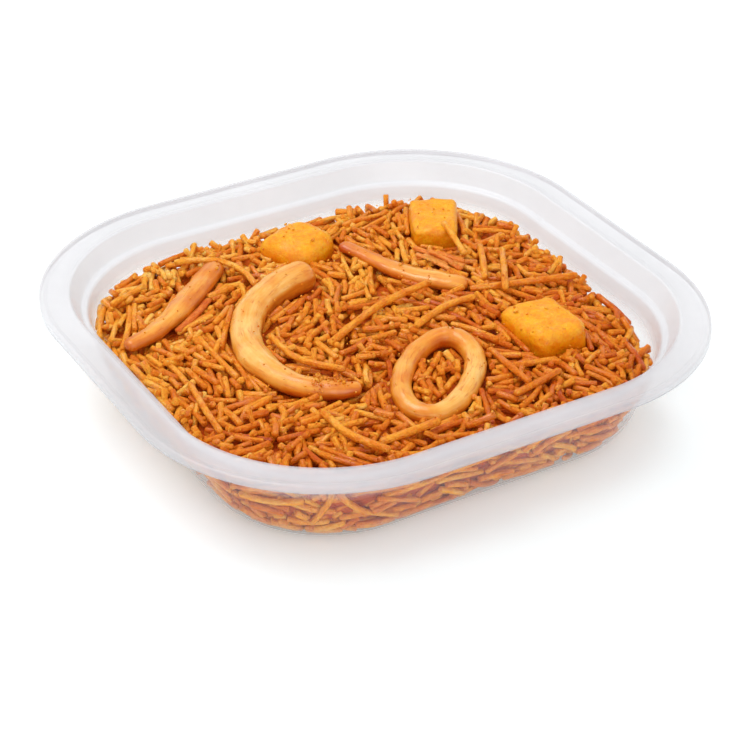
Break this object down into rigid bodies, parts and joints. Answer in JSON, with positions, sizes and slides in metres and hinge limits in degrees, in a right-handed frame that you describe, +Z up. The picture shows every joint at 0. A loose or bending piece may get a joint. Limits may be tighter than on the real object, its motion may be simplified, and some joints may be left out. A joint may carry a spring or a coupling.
{
  "type": "tray meal of short noodles",
  "caption": "Open clear plastic tray with a wide rolled rim, filled with short toasted noodles, squid and yellow chunks.",
  "frame": {"origin": "centre of the tray's footprint, on the surface that it stands on", "axes": "+X along the tray's longer side, +Y across it, +Z up out of the open top"},
  "size_m": [0.187, 0.18, 0.0372],
  "materials": {
    "tray_plastic": "thin clear milky sheet, smooth",
    "toasted_noodle": "toasted pasta with a thin film of oil",
    "cooked_squid": "moist cooked squid with red-brown specks",
    "yellow_chunk": "soft moist yellow chunk"
  },
  "bodies": {
    "root": {"tray": "tray_plastic", "noodles": "toasted_noodle", "squid_ring": "cooked_squid", "squid_curl": "cooked_squid", "squid_strip_left": "cooked_squid", "squid_strip_back": "cooked_squid", "chunk_right": "yellow_chunk", "chunk_back_right": "yellow_chunk", "chunk_back_left": "yellow_chunk"}
  },
  "joints": []
}
